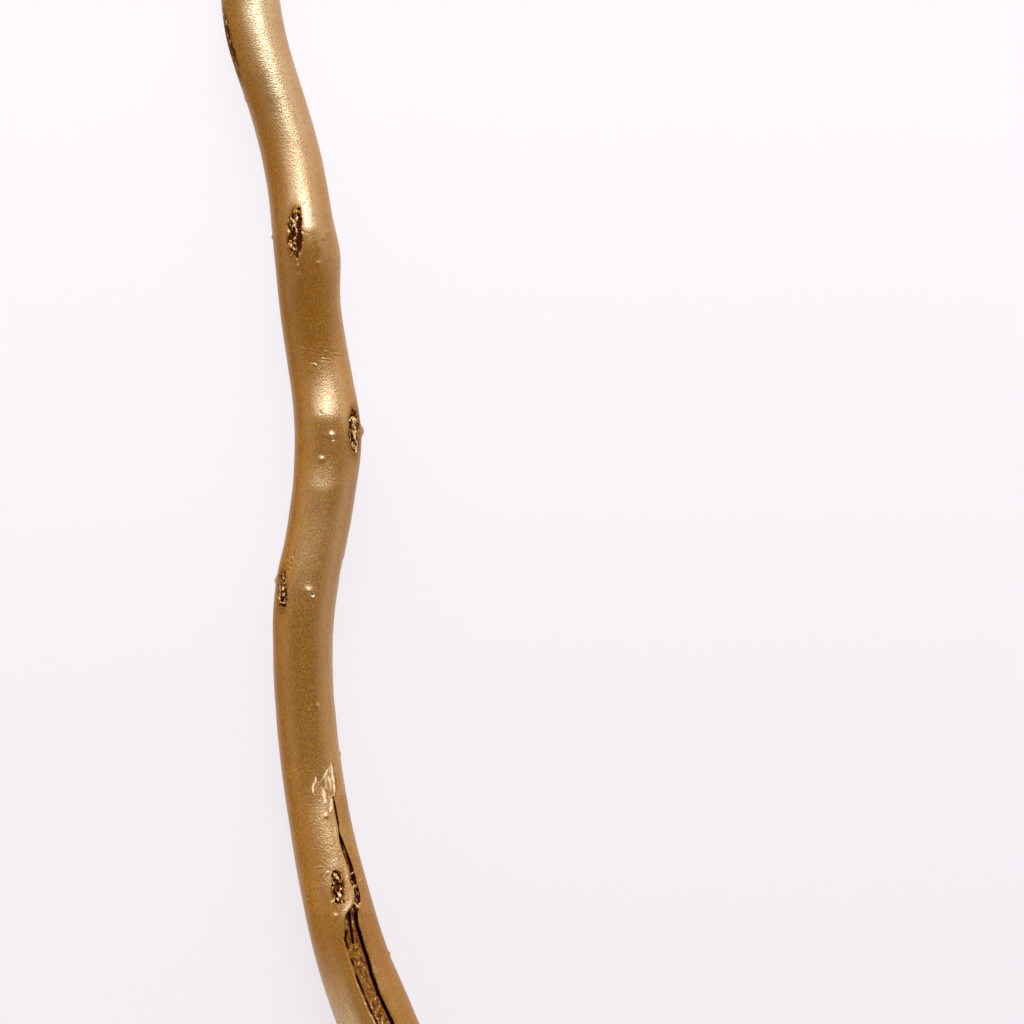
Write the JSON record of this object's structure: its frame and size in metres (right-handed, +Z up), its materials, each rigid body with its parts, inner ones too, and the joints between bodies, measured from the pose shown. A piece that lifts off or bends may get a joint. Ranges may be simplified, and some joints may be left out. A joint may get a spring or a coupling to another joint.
{
  "type": "mulberry branch",
  "caption": "Cut length of gold-painted mulberry branch: gently crooked, with swollen bud knuckles, eye-shaped bud scars and a long drying split towards its thick end. It lies flat.",
  "frame": {"origin": "on the surface that the branch lies on, under the middle of its bounding box", "axes": "+X along the branch from its thick cut end to its thin one, +Y to the left of that, +Z up"},
  "size_m": [0.3448, 0.0662, 0.023],
  "materials": {
    "gold_bark": "satin metallic gold paint sprayed over smooth bark, dark brown in the split and the bud scars"
  },
  "bodies": {
    "root": {"mulberry_branch": "gold_bark"}
  },
  "joints": []
}
